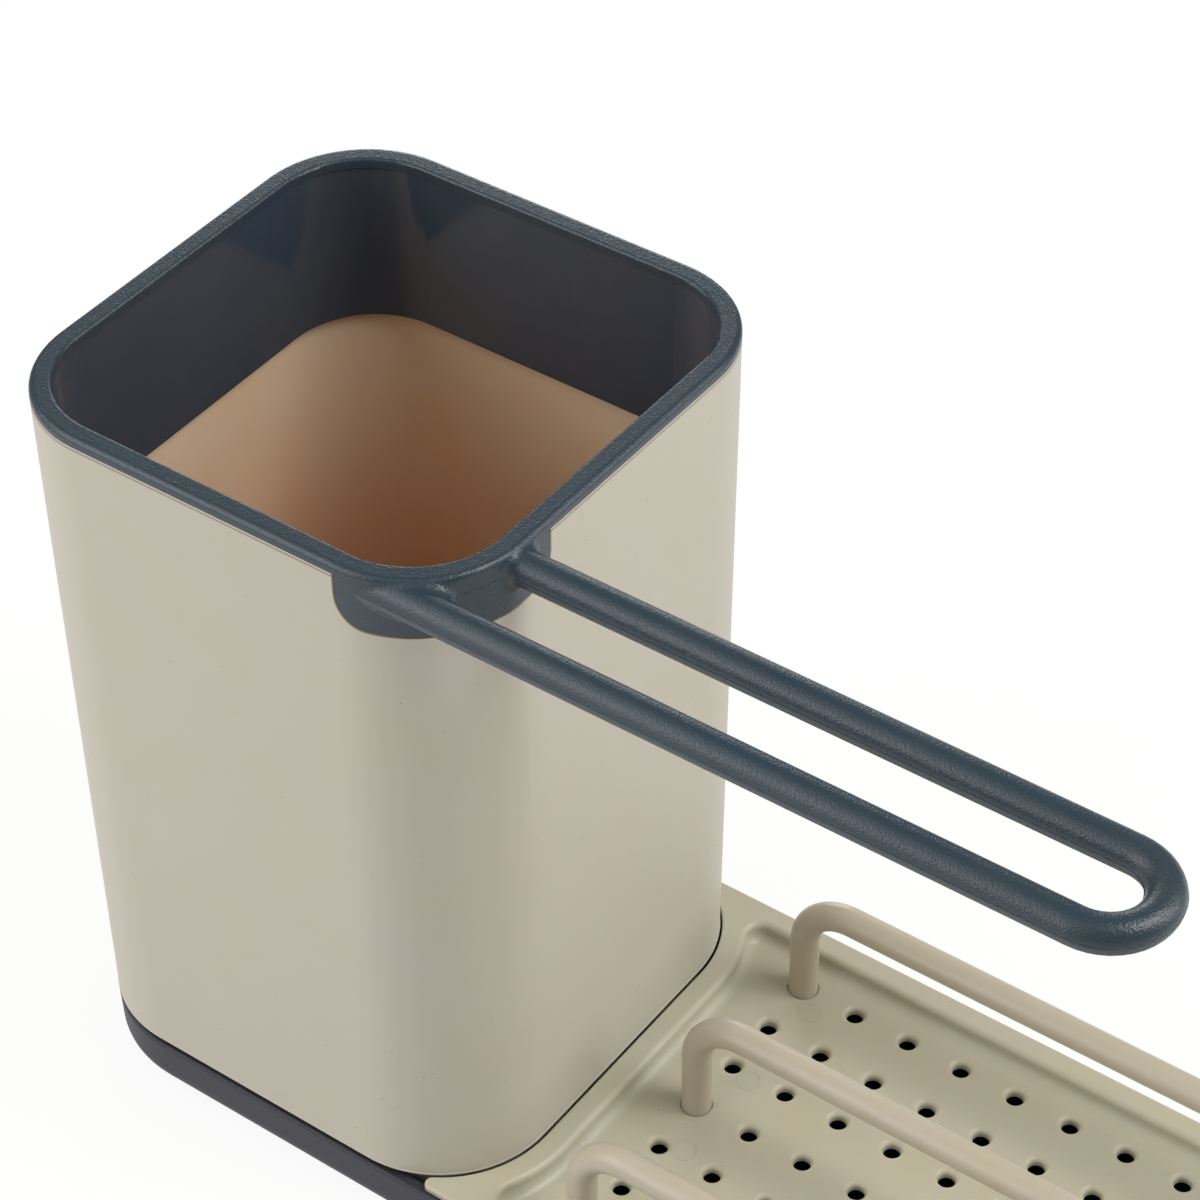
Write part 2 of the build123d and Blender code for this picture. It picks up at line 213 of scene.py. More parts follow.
class OrganizerStage(bpy.types.PropertyGroup):
    """Camera, lamps and floor"""

    camera_place: FloatVectorProperty(
        name="Camera place", description="Where the camera stands", subtype="TRANSLATION", unit="LENGTH",
        size=3, default=(0.24905, -0.39332, 0.55386), precision=5,
    )
    camera_turn: FloatVectorProperty(
        name="Camera turn", description="How the camera is turned", subtype="EULER", size=3,
        default=tuple(math.radians(angle) for angle in (49.650, 1.346, 36.812)), precision=5,
    )
    focal_length: FloatProperty(
        name="Focal length", description="Focal length on a 36 mm sensor, in millimetres", default=112.76
    )
    shift: FloatVectorProperty(
        name="Shift", description="Camera shift, as shares of the frame", size=2, default=(0.0758, -0.0501)
    )
    lamp_reach: FloatProperty(
        name="Lamp reach", description="Distance of the lamps from the pot's middle", unit="LENGTH", default=1.1
    )
    wide_lamp: FloatProperty(
        name="Wide lamps", description="Side of the lamps at the left", unit="LENGTH", default=0.8
    )
    small_lamp: FloatProperty(
        name="Small lamps", description="Side of the other lamps", unit="LENGTH", default=0.5
    )
    left_power: power_setting("Left lamp", "Power of the lamp at the front left", 5.55)
    side_power: power_setting("Side lamp", "Power of the lamp at the left side", 3.13)
    high_power: power_setting("High lamp", "Power of the high lamp at the front left", 1.4)
    right_power: power_setting("Right lamp", "Power of the high lamp at the right", 6.75)
    low_power: power_setting("Low lamp", "Power of the low lamp at the right", 3.15)
    back_power: power_setting("Back lamp", "Power of the low lamp behind the pot", 3)
    ambient: FloatProperty(name="Ambient", description="Strength of the even light all round", default=0.31)
    ambient_tint: FloatVectorProperty(
        name="Ambient tint", description="Colour of the even light", subtype="COLOR", size=3, default=(1, 0.96, 0.82)
    )
    ambient_gloss: FloatProperty(
        name="Ambient gloss", description="Strength of the surroundings in reflections", default=0.15
    )
    floor_reach: FloatProperty(
        name="Floor reach", description="How far off the floor still looks white in reflections",
        unit="LENGTH", default=0.5,
    )
    floor_shade: share_setting("Floor shade", "How much light the floor throws back", 0.55)
    floor_seen: share_setting("Floor seen", "How pale the floor looks to the camera", 0.98)
    floor_white: share_setting("Floor white", "Share of plain white in the floor near the object, as seen", 0.9)


def settings():
    """Colours, sizes, finish and stage, as set in the scene"""
    scene = bpy.context.scene
    return scene.organizer_colours, scene.organizer_sizes, scene.organizer_finish, scene.organizer_stage


# Shader building

def feed(tree, socket, value):
    """Links a socket to an output, or sets its value"""
    if isinstance(value, bpy.types.NodeSocket):
        tree.links.new(value, socket)
    elif socket.type == "RGBA" and len(value) == 3:
        socket.default_value = (*value, 1)
    else:
        socket.default_value = value


def add_node(tree, kind, terms=(), **values):
    """New node: terms feed its inputs in order, and each named value is an input or else an attribute"""
    node = tree.nodes.new(kind)
    sockets = {key: node.inputs.get(key.replace("_", " ").title()) for key in values}
    for key, value in values.items():
        if sockets[key] is None:
            setattr(node, key, value)
    for key, value in values.items():
        if sockets[key] is not None:
            feed(tree, sockets[key], value)
    for socket, value in zip(node.inputs, terms):
        feed(tree, socket, value)
    return node


def maths(tree, operation, *terms):
    """Output of a Math node with these terms"""
    return add_node(tree, "ShaderNodeMath", terms, operation=operation).outputs[0]


def mixed_colour(tree, factor, first, second):
    """Output of a colour mix"""
    node = add_node(tree, "ShaderNodeMix", data_type="RGBA")
    for place, term in ((0, factor), (6, first), (7, second)):
        feed(tree, node.inputs[place], term)
    return node.outputs[2]


def mixed_value(tree, factor, first, second):
    """Output of a value mix"""
    node = add_node(tree, "ShaderNodeMix", data_type="FLOAT")
    for place, term in ((0, factor), (2, first), (3, second)):
        feed(tree, node.inputs[place], term)
    return node.outputs[0]


def object_place(tree):
    """Output with the shaded point in the object's own coordinates"""
    return add_node(tree, "ShaderNodeTexCoord").outputs["Object"]


def new_group(name, inputs, outputs):
    """Empty shader group with the named sockets, its input node and its output node"""
    group = bpy.data.node_groups.new(name, "ShaderNodeTree")
    for socket_name, kind, default in inputs:
        socket = group.interface.new_socket(socket_name, in_out="INPUT", socket_type=kind)
        socket.default_value = default
    for socket_name, kind in outputs:
        group.interface.new_socket(socket_name, in_out="OUTPUT", socket_type=kind)
    return group, group.nodes.new("NodeGroupInput"), group.nodes.new("NodeGroupOutput")


def use_group(tree, group, **values):
    """Group node in a tree, with its inputs set by name"""
    node = tree.nodes.new("ShaderNodeGroup")
    node.node_tree = group
    for key, value in values.items():
        feed(tree, node.inputs[key.replace("_", " ").title()], value)
    return node


def moulded_skin():
    """Group for a moulded skin: a fine grain as height, and cloudy changes of shade and roughness"""
    if "moulded_skin" in bpy.data.node_groups:
        return bpy.data.node_groups["moulded_skin"]
    group, given, result = new_group(
        "moulded_skin",
        [
            ("Colour", "NodeSocketColor", (0.5, 0.5, 0.5, 1)),
            ("Grain Size", "NodeSocketFloat", 0.3 * MM),
            ("Mottle Size", "NodeSocketFloat", 18 * MM),
            ("Mottle", "NodeSocketFloat", 0.03),
            ("Tint Spread", "NodeSocketFloat", 0.5),
            ("Roughness", "NodeSocketFloat", 0.5),
            ("Roughness Spread", "NodeSocketFloat", 0.06),
        ],
        [("Colour", "NodeSocketColor"), ("Roughness", "NodeSocketFloat"), ("Height", "NodeSocketFloat")],
    )
    place = object_place(group)
    grain_scale = maths(group, "DIVIDE", 1, given.outputs["Grain Size"])
    grain = add_node(group, "ShaderNodeTexNoise", vector=place, scale=grain_scale, detail=1, roughness=0.5)
    mottle_scale = maths(group, "DIVIDE", 1, given.outputs["Mottle Size"])
    mottle = add_node(group, "ShaderNodeTexNoise", vector=place, scale=mottle_scale, detail=4, roughness=0.55)
    centred = maths(group, "SUBTRACT", mottle.outputs["Fac"], 0.5)
    value = maths(group, "MULTIPLY_ADD", centred, given.outputs["Mottle"], 1)
    tints = add_node(group, "ShaderNodeSeparateColor", (mottle.outputs["Color"],))
    tint = maths(group, "SUBTRACT", tints.outputs["Green"], 0.5)
    saturation = maths(group, "MULTIPLY_ADD", tint, given.outputs["Tint Spread"], 1)
    shaded = add_node(
        group, "ShaderNodeHueSaturation", color=given.outputs["Colour"], value=value, saturation=saturation
    )
    rough = maths(group, "MULTIPLY_ADD", centred, given.outputs["Roughness Spread"], given.outputs["Roughness"])
    group.links.new(shaded.outputs["Color"], result.inputs["Colour"])
    group.links.new(rough, result.inputs["Roughness"])
    group.links.new(grain.outputs["Fac"], result.inputs["Height"])
    return group


def stray_specks():
    """Group for a few small dark specks scattered through a plastic"""
    if "stray_specks" in bpy.data.node_groups:
        return bpy.data.node_groups["stray_specks"]
    group, given, result = new_group(
        "stray_specks",
        [
            ("Colour", "NodeSocketColor", (0.5, 0.5, 0.5, 1)),
            ("Speck", "NodeSocketColor", (0.2, 0.2, 0.2, 1)),
            ("Gap", "NodeSocketFloat", 8 * MM),
            ("Size", "NodeSocketFloat", 0.25 * MM),
        ],
        [("Colour", "NodeSocketColor")],
    )
    cell_scale = maths(group, "DIVIDE", 1, given.outputs["Gap"])
    cells = add_node(group, "ShaderNodeTexVoronoi", vector=object_place(group), scale=cell_scale)
    away = maths(group, "MULTIPLY", cells.outputs["Distance"], given.outputs["Gap"])
    share = maths(group, "DIVIDE", away, given.outputs["Size"])
    near = maths(group, "SUBTRACT", 1, maths(group, "MINIMUM", share, 1))
    group.links.new(
        mixed_colour(group, near, given.outputs["Colour"], given.outputs["Speck"]), result.inputs["Colour"]
    )
    return group


def wall_depth():
    """Group that tells how deep a point lies under the pot's leaning outer face, and its height"""
    if "wall_depth" in bpy.data.node_groups:
        return bpy.data.node_groups["wall_depth"]
    group, given, result = new_group(
        "wall_depth",
        [
            ("Centre", "NodeSocketVector", (0, 0, 0)),
            ("Top", "NodeSocketFloat", 160 * MM),
            ("Half Width", "NodeSocketFloat", 50 * MM),
            ("Corner", "NodeSocketFloat", 22 * MM),
            ("Lean", "NodeSocketFloat", 0.02),
            ("Corner Growth", "NodeSocketFloat", 0.01),
        ],
        [("Depth", "NodeSocketFloat"), ("Height", "NodeSocketFloat")],
    )
    away = add_node(
        group, "ShaderNodeVectorMath", (object_place(group), given.outputs["Centre"]), operation="SUBTRACT"
    )
    parts = add_node(group, "ShaderNodeSeparateXYZ", away.outputs[:1])
    drop = maths(group, "SUBTRACT", given.outputs["Top"], parts.outputs["Z"])
    drop = maths(group, "MAXIMUM", drop, 0)
    corner = maths(group, "MULTIPLY_ADD", drop, given.outputs["Corner Growth"], given.outputs["Corner"])
    leaned = maths(group, "MULTIPLY", drop, given.outputs["Lean"])
    half = maths(group, "SUBTRACT", given.outputs["Half Width"], leaned)
    arc_centre = maths(group, "SUBTRACT", half, corner)
    x = maths(group, "SUBTRACT", maths(group, "ABSOLUTE", parts.outputs["X"]), arc_centre)
    y = maths(group, "SUBTRACT", maths(group, "ABSOLUTE", parts.outputs["Y"]), arc_centre)
    x_over = maths(group, "MAXIMUM", x, 0)
    y_over = maths(group, "MAXIMUM", y, 0)
    square = maths(group, "MULTIPLY_ADD", y_over, y_over, maths(group, "MULTIPLY", x_over, x_over))
    inside = maths(group, "MINIMUM", maths(group, "MAXIMUM", x, y), 0)
    reach = maths(group, "ADD", maths(group, "SQRT", square), inside)
    group.links.new(maths(group, "SUBTRACT", corner, reach), result.inputs["Depth"])
    group.links.new(parts.outputs["Z"], result.inputs["Height"])
    return group


def pot_wall(tree):
    """Group node that tells the depth under the pot's outer face, for a material of the pot or the collar"""
    _, sizes, _, _ = settings()
    tall = POT_HIGH.z - LAND_HEIGHT
    return use_group(
        tree, wall_depth(), centre=Vector(((POT_HIGH.x + POT_LOW.x) / 2, (POT_HIGH.y + POT_LOW.y) / 2, 0)),
        top=POT_HIGH.z, half_width=(POT_HIGH.x - POT_LOW.x) / 2, corner=sizes.pot_corner,
        lean=sizes.pot_lean / tall, corner_growth=(sizes.foot_corner - sizes.pot_corner) / tall,
    )


def moulding(name, colour, roughness, grain, depth, mottle, glow=0.0, grain_mask=None):
    """Moulded plastic; colour and roughness are values, or functions that build them in the material's tree"""
    _, _, finish, _ = settings()
    material = bpy.data.materials.new(name)
    material.use_nodes = True
    tree = material.node_tree
    tree.nodes.clear()
    shader = tree.nodes.new("ShaderNodeBsdfPrincipled")
    output = tree.nodes.new("ShaderNodeOutputMaterial")
    tree.links.new(shader.outputs["BSDF"], output.inputs["Surface"])
    skin = use_group(
        tree, moulded_skin(), grain_size=grain, mottle_size=finish.mottle_size, mottle=mottle,
        colour=colour(tree) if callable(colour) else colour,
        roughness=roughness(tree) if callable(roughness) else roughness,
    )
    height = skin.outputs["Height"]
    if grain_mask:
        height = maths(tree, "MULTIPLY", height, grain_mask(tree))
    lift = add_node(tree, "ShaderNodeBump", height=height, distance=depth)
    shader.inputs["Subsurface Weight"].default_value = glow
    shader.inputs["Subsurface Scale"].default_value = finish.glow_depth
    shader.inputs["Subsurface Radius"].default_value = CREAM_SCATTER
    tree.links.new(skin.outputs["Colour"], shader.inputs["Base Color"])
    tree.links.new(skin.outputs["Roughness"], shader.inputs["Roughness"])
    tree.links.new(lift.outputs["Normal"], shader.inputs["Normal"])
    return material


def specked(tree, colour):
    """Colour output of a cream with stray specks"""
    colours, _, finish, _ = settings()
    return use_group(
        tree, stray_specks(), colour=colour, speck=colours.speck, gap=finish.speck_gap, size=finish.speck_size
    ).outputs["Colour"]


def pot_seam_shade(tree, wall):
    """Mask of the fine line of painted groove shade that runs round the pot, under its top edge"""
    _, sizes, _, _ = settings()
    middle = POT_HIGH.z - sizes.seam_drop
    away = maths(tree, "ABSOLUTE", maths(tree, "SUBTRACT", wall.outputs["Height"], middle))
    share = maths(tree, "DIVIDE", away, sizes.seam_width / 2)
    return maths(tree, "SUBTRACT", 1, maths(tree, "MINIMUM", share, 1))


def under_lip(tree, wall):
    """Mask of the pot below the level face of its lip"""
    _, sizes, _, _ = settings()
    return maths(tree, "LESS_THAN", wall.outputs["Height"], POT_HIGH.z - sizes.pot_skin)


def notch_edge_shade(tree, wall):
    """Mask of the painted shade line on the edge of the pot's notch, where the edge turns in from the outer face"""
    _, sizes, _, _ = settings()
    turned_in = maths(tree, "GREATER_THAN", wall.outputs["Depth"], sizes.notch_edge)
    by_notch = maths(tree, "GREATER_THAN", wall.outputs["Height"], POT_HIGH.z - sizes.notch_reach)
    return maths(tree, "MULTIPLY", maths(tree, "MULTIPLY", turned_in, by_notch), under_lip(tree, wall))


def pot_colour(tree):
    """Cream outside; inside the pot, and on its cut faces past the skin, painted warm bounce light that deepens into
    painted shade towards the floor
    """
    colours, sizes, _, _ = settings()
    wall = pot_wall(tree)
    beyond_skin = maths(tree, "GREATER_THAN", wall.outputs["Depth"], sizes.pot_skin)
    over_floor = maths(tree, "GREATER_THAN", wall.outputs["Height"], LAND_HEIGHT + sizes.pot_base / 2)
    level = add_node(tree, "ShaderNodeMapRange", value=wall.outputs["Height"])
    level.inputs["From Min"].default_value = LAND_HEIGHT + sizes.pot_base
    level.inputs["From Max"].default_value = COLLAR_LOW.z
    # Painted shade: blends from the warm bounce light under the sleeve to the deep warm shade at the floor, by height
    painted_inside_shade = mixed_colour(tree, level.outputs["Result"], colours.pot_depth, colours.pot_mouth_warm_bounce)
    inside = maths(tree, "MULTIPLY", beyond_skin, maths(tree, "MULTIPLY", over_floor, under_lip(tree, wall)))
    # Painted shade: the brown line under the top edge and round the notch's edge stands in for the shadow of a fine
    # groove and of the chamfer
    line = maths(tree, "MAXIMUM", pot_seam_shade(tree, wall), notch_edge_shade(tree, wall))
    outside = mixed_colour(tree, line, specked(tree, colours.pot), colours.seam)
    return mixed_colour(tree, inside, outside, painted_inside_shade)


def in_sleeve(tree):
    """Mask of the collar's sleeve, inside and under the rim"""
    _, sizes, _, _ = settings()
    wall = pot_wall(tree)
    beyond_wall = maths(tree, "GREATER_THAN", wall.outputs["Depth"], sizes.pot_wall)
    under_rim = maths(tree, "LESS_THAN", wall.outputs["Height"], POT_HIGH.z)
    return maths(tree, "MULTIPLY", beyond_wall, under_rim)


def collar_colour(tree):
    """Slate, with a lighter, bluer slate inside the sleeve painted as the cool light that its glossy walls reflect"""
    colours, _, _, _ = settings()
    return mixed_colour(tree, in_sleeve(tree), colours.collar, colours.sleeve)


def collar_roughness(tree):
    """Satin outside, glossier inside the sleeve"""
    _, _, finish, _ = settings()
    return mixed_value(tree, in_sleeve(tree), finish.collar_roughness, finish.sleeve_roughness)


def collar_grain(tree):
    """Mask of the grain: full outside, and nearly none inside the sleeve"""
    _, _, finish, _ = settings()
    return mixed_value(tree, in_sleeve(tree), 1, finish.sleeve_grain)


def slate_collar():
    """Satin slate of the collar and its rail"""
    _, _, finish, _ = settings()
    return moulding(
        "slate_collar", collar_colour, collar_roughness, finish.slate_grain, finish.slate_depth,
        finish.collar_mottle, grain_mask=collar_grain,
    )


def slate_tray():
    """Matt slate of the tray"""
    colours, _, finish, _ = settings()
    return moulding(
        "slate_tray", colours.tray, finish.tray_roughness, finish.slate_grain, finish.slate_depth,
        finish.tray_mottle,
    )


def soft_grey():
    """Soft grey of the feet"""
    colours, _, finish, _ = settings()
    return moulding(
        "soft_grey", colours.foot, finish.foot_roughness, finish.slate_grain, finish.slate_depth,
        finish.plain_mottle,
    )


def cream_pot():
    """Matt cream of the pot"""
    _, _, finish, _ = settings()
    return moulding(
        "cream_pot", pot_colour, finish.pot_roughness, finish.cream_grain, finish.cream_depth,
        finish.plain_mottle,
    )


def cream_insert():
    """Satin cream of the insert"""
    colours, _, finish, _ = settings()
    return moulding(
        "cream_insert", lambda tree: specked(tree, colours.insert), finish.insert_roughness,
        finish.cream_grain, finish.cream_depth, finish.plain_mottle, glow=finish.cream_glow,
    )


def cream_bar():
    """Satin cream of the bars"""
    colours, _, finish, _ = settings()
    return moulding(
        "cream_bar", colours.bar, finish.bar_roughness, finish.cream_grain, finish.cream_depth,
        finish.plain_mottle, glow=finish.cream_glow,
    )


# Geometry building

def new_tree(name, inputs):
    """Empty Geometry Nodes tree with a geometry, the named inputs and a geometry out"""
    tree = bpy.data.node_groups.new(name, "GeometryNodeTree")
    tree.interface.new_socket("Geometry", in_out="INPUT", socket_type="NodeSocketGeometry")
    for socket_name, kind in inputs:
        tree.interface.new_socket(socket_name, in_out="INPUT", socket_type=kind)
    tree.interface.new_socket("Geometry", in_out="OUTPUT", socket_type="NodeSocketGeometry")
    return tree, tree.nodes.new("NodeGroupInput"), tree.nodes.new("NodeGroupOutput")


def close_tree(tree, geometry, material, result):
    """Smooth shading, Realize Instances and Set Material, then the tree's output"""
    smooth = add_node(tree, "GeometryNodeSetShadeSmooth", (geometry,))
    whole = add_node(tree, "GeometryNodeRealizeInstances", smooth.outputs[:1])
    painted = add_node(tree, "GeometryNodeSetMaterial", whole.outputs[:1], material=material)
    tree.links.new(painted.outputs[0], result.inputs["Geometry"])


def swept_rod():
    """Tree that rounds a path's corners and sweeps a round section along it, with a fine seam on two sides"""
    if "swept_rod" in bpy.data.node_groups:
        return bpy.data.node_groups["swept_rod"]
    tree, given, result = new_tree(
        "swept_rod",
        [
            ("Bend Radius", "NodeSocketFloat"),
            ("Bend Steps", "NodeSocketInt"),
            ("Rod Radius", "NodeSocketFloat"),
            ("Round Steps", "NodeSocketInt"),
            ("Seam", "NodeSocketFloat"),
            ("Material", "NodeSocketMaterial"),
        ],
    )
    path = add_node(tree, "GeometryNodeMeshToCurve", (given.outputs["Geometry"],))
    bent = add_node(tree, "GeometryNodeFilletCurve", path.outputs[:1], mode="POLY", limit_radius=True)
    tree.links.new(given.outputs["Bend Radius"], bent.inputs["Radius"])
    tree.links.new(given.outputs["Bend Steps"], bent.inputs["Count"])
    circle = add_node(tree, "GeometryNodeCurvePrimitiveCircle", mode="RADIUS")
    tree.links.new(given.outputs["Rod Radius"], circle.inputs["Radius"])
    tree.links.new(given.outputs["Round Steps"], circle.inputs["Resolution"])
    across = add_node(tree, "ShaderNodeSeparateXYZ", add_node(tree, "GeometryNodeInputPosition").outputs[:1])
    share = maths(tree, "DIVIDE", maths(tree, "ABSOLUTE", across.outputs["Y"]), given.outputs["Rod Radius"])
    on_seam = maths(tree, "LESS_THAN", share, SEAM_SHARE)
    lift = maths(tree, "MULTIPLY", maths(tree, "SIGN", across.outputs["X"]), given.outputs["Seam"])
    offset = add_node(tree, "ShaderNodeCombineXYZ", (lift,))
    section = add_node(
        tree, "GeometryNodeSetPosition", circle.outputs[:1], selection=on_seam, offset=offset.outputs[0]
    )
    rod = add_node(tree, "GeometryNodeCurveToMesh", (bent.outputs[0], section.outputs[0]), fill_caps=True)
    close_tree(tree, rod.outputs[0], given.outputs["Material"], result)
    return tree


def bead_rings():
    """Tree that lays a ring of fine bead round each point"""
    if "bead_rings" in bpy.data.node_groups:
        return bpy.data.node_groups["bead_rings"]
    tree, given, result = new_tree(
        "bead_rings",
        [
            ("Ring Radius", "NodeSocketFloat"),
            ("Bead Radius", "NodeSocketFloat"),
            ("Ring Steps", "NodeSocketInt"),
            ("Material", "NodeSocketMaterial"),
        ],
    )
    ring = add_node(tree, "GeometryNodeCurvePrimitiveCircle", mode="RADIUS")
    tree.links.new(given.outputs["Ring Radius"], ring.inputs["Radius"])
    tree.links.new(given.outputs["Ring Steps"], ring.inputs["Resolution"])
    bead = add_node(tree, "GeometryNodeCurvePrimitiveCircle", mode="RADIUS", resolution=BEAD_SIDES)
    tree.links.new(given.outputs["Bead Radius"], bead.inputs["Radius"])
    torus = add_node(tree, "GeometryNodeCurveToMesh", (ring.outputs[0], bead.outputs[0]))
    rings = add_node(
        tree, "GeometryNodeInstanceOnPoints", points=given.outputs["Geometry"], instance=torus.outputs[0]
    )
    close_tree(tree, rings.outputs[0], given.outputs["Material"], result)
    return tree


def arc_points(centre, radius, start, end, steps, height):
    """Points on a level arc, with its start and end in degrees from +X"""
    angles = [math.radians(start + (end - start) * step / steps) for step in range(steps + 1)]
    return [(centre.x + radius * math.cos(a), centre.y + radius * math.sin(a), height) for a in angles]


def path_object(name, points, closed=False, joined=True):
    """Mesh object of points, joined by edges one after another"""
    edges = [(place, place + 1) for place in range(len(points) - 1)] if joined else []
    if closed:
        edges.append((len(points) - 1, 0))
    mesh = bpy.data.meshes.new(name)
    mesh.from_pydata(points, edges, [])
    path = bpy.data.objects.new(name, mesh)
    bpy.context.scene.collection.objects.link(path)
    return path


def grow(path, tree, **values):
    """Runs a tree on a path with inputs set by name, and leaves the object with the plain mesh it makes"""
    growth = path.modifiers.new("growth", "NODES")
    growth.node_group = tree
    for item in tree.interface.items_tree:
        key = item.name.lower().replace(" ", "_")
        if item.in_out == "INPUT" and key in values:
            growth[item.identifier] = values[key]
    graph = bpy.context.evaluated_depsgraph_get()
    grown = bpy.data.meshes.new_from_object(path.evaluated_get(graph), depsgraph=graph)
    if not grown.polygons:
        raise RuntimeError(f"{path.name} grew no faces")
    path.modifiers.remove(growth)
    plain = path.data
    path.data = grown
    bpy.data.meshes.remove(plain)
    grown.name = path.name
    return path


def paint(node_name, material):
    """Gives a carried-over node its finish"""
    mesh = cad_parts[node_name].data
    mesh.materials.clear()
    mesh.materials.append(material)


# Pieces

class ORGANIZER_OT_tray(bpy.types.Operator):
    """Finish the tray and its feet"""

    bl_idname = "organizer.tray"
    bl_label = "Tray and feet"

    def execute(self, context):
        paint("base_tray", slate_tray())
        soft = soft_grey()
        for name in FEET:
            paint(name, soft)
        return {"FINISHED"}


class ORGANIZER_OT_pot(bpy.types.Operator):
    """Finish the brush pot, and lay a bead round its foot"""

    bl_idname = "organizer.pot"
    bl_label = "Brush pot"

    def execute(self, context):
        _, sizes, _, _ = settings()
        cream = cream_pot()
        paint("brush_pot", cream)
        radius = sizes.foot_bead / 2
        height = LAND_HEIGHT + radius - sizes.foot_drop
        corner = sizes.foot_corner - radius + sizes.foot_step
        inset = sizes.pot_lean + sizes.foot_corner
        low, high = POT_LOW.xy + Vector((inset, inset)), POT_HIGH.xy - Vector((inset, inset))
        steps = 2 * sizes.bend_steps
        ring = []
        for turn, centre in enumerate((high, (low.x, high.y), low, (high.x, low.y))):
            ring += arc_points(Vector(centre), corner, 90 * turn, 90 * (turn + 1), steps, height)
        bead = grow(
            path_object("pot_foot_bead", ring, closed=True), swept_rod(), bend_radius=0.0, bend_steps=1,
            rod_radius=radius, round_steps=FOOT_BEAD_SIDES, seam=0.0, material=cream,
        )
        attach(bead, "pot")
        return {"FINISHED"}


class ORGANIZER_OT_collar(bpy.types.Operator):
    """Finish the collar with its rail, and lay the mould's parting bead round the rail"""

    bl_idname = "organizer.collar"
    bl_label = "Collar and rail"

    def execute(self, context):
        _, sizes, _, _ = settings()
        slate = slate_collar()
        paint("rim_collar", slate)
        radius, spacing = sizes.rail_diameter / 2, sizes.rail_spacing
        height = COLLAR_HIGH.z - sizes.rail_drop
        front = COLLAR_LOW.y + sizes.rail_inset + radius
        turn = Vector((COLLAR_HIGH.x - radius - spacing / 2, front + spacing / 2))
        corner = Vector((POT_HIGH.x - sizes.pot_corner, POT_LOW.y + sizes.pot_corner))
        steps = 2 * sizes.bend_steps
        inner_gap = spacing / 2 - radius
        front_angle = math.degrees(math.asin((turn.y - inner_gap - corner.y) / sizes.pot_corner))
        back_angle = math.degrees(math.asin((turn.y + inner_gap - corner.y) / sizes.pot_corner))
        inner = arc_points(turn, inner_gap, -90, 90, steps, height)
        inner += arc_points(corner, sizes.pot_corner, back_angle, front_angle, steps, height)
        outer = [(corner.x, front - radius, height)]
        outer += arc_points(turn, spacing / 2 + radius, -90, 90, steps, height)
        outer += [(corner.x + sizes.pot_corner, front + spacing + radius, height)]
        for name, points, closed in (("rail_seam_inner", inner, True), ("rail_seam_outer", outer, False)):
            seam = grow(
                path_object(name, points, closed), swept_rod(), bend_radius=0.0, bend_steps=1,
                rod_radius=sizes.mould_line / 2, round_steps=BEAD_SIDES, seam=0.0, material=slate,
            )
            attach(seam, "collar")
        return {"FINISHED"}


class ORGANIZER_OT_insert(bpy.types.Operator):
    """Finish the drained stand, and lay the rings that the mould's pins left on its floor"""

    bl_idname = "organizer.insert"
    bl_label = "Insert"

    def execute(self, context):
        _, sizes, _, _ = settings()
        cream = cream_insert()
        paint("drain_insert", cream)
        bar_low, bar_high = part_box("bar_back")
        columns = (bar_low.x + sizes.pin_inset, bar_high.x - sizes.pin_inset)
        places = [(column, row, RECESS_HEIGHT) for column in columns for row in PIN_ROWS]
        rings = grow(
            path_object("pin_marks", places, joined=False), bead_rings(), ring_radius=sizes.pin_mark / 2,
            bead_radius=sizes.pin_bead / 2, ring_steps=RING_STEPS, material=cream,
        )
        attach(rings, "insert")
        return {"FINISHED"}


class ORGANIZER_OT_bars(bpy.types.Operator):
    """Bend the three bars, and lay a bead round each of their feet"""

    bl_idname = "organizer.bars"
    bl_label = "Bars"

    def execute(self, context):
        _, sizes, _, _ = settings()
        cream = cream_bar()
        radius = sizes.bar_diameter / 2
        bead_height = RECESS_HEIGHT - sizes.bar_bead_drop
        feet = []
        for name in BARS:
            low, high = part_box(name)
            left, right, row = low.x + radius, high.x - radius, (low.y + high.y) / 2
            path = [
                (left, row, low.z), (left, row, high.z - radius), (right, row, high.z - radius), (right, row, low.z),
            ]
            feet += [(left, row, bead_height), (right, row, bead_height)]
            rod = grow(
                path_object(f"bent_{name}", path), swept_rod(), bend_radius=sizes.bar_bend,
                bend_steps=sizes.bend_steps, rod_radius=radius, round_steps=sizes.round_steps,
                seam=sizes.bar_seam, material=cream,
            )
            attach(rod, "insert")
            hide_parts(name)
        beads = grow(
            path_object("bar_foot_beads", feet, joined=False), bead_rings(),
            ring_radius=radius + sizes.bar_bead_out, bead_radius=sizes.bar_bead / 2, ring_steps=RING_STEPS,
            material=cream,
        )
        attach(beads, "insert")
        return {"FINISHED"}


# Stage

def add_lamp(name, aim, reach, azimuth, elevation, size, power):
    """Square area lamp turned to aim, that far off, at an azimuth from +X and an elevation in degrees"""
    data = bpy.data.lights.new(name, "AREA")
    data.shape = "SQUARE"
    data.size = size
    data.energy = power
    lamp = bpy.data.objects.new(name, data)
    bpy.context.scene.collection.objects.link(lamp)
    turn, rise = math.radians(azimuth), math.radians(elevation)
    away = Vector((math.cos(turn) * math.cos(rise), math.sin(turn) * math.cos(rise), math.sin(rise)))
    lamp.location = aim + reach * away
    lamp.rotation_euler = (-away).to_track_quat("-Z", "Y").to_euler()


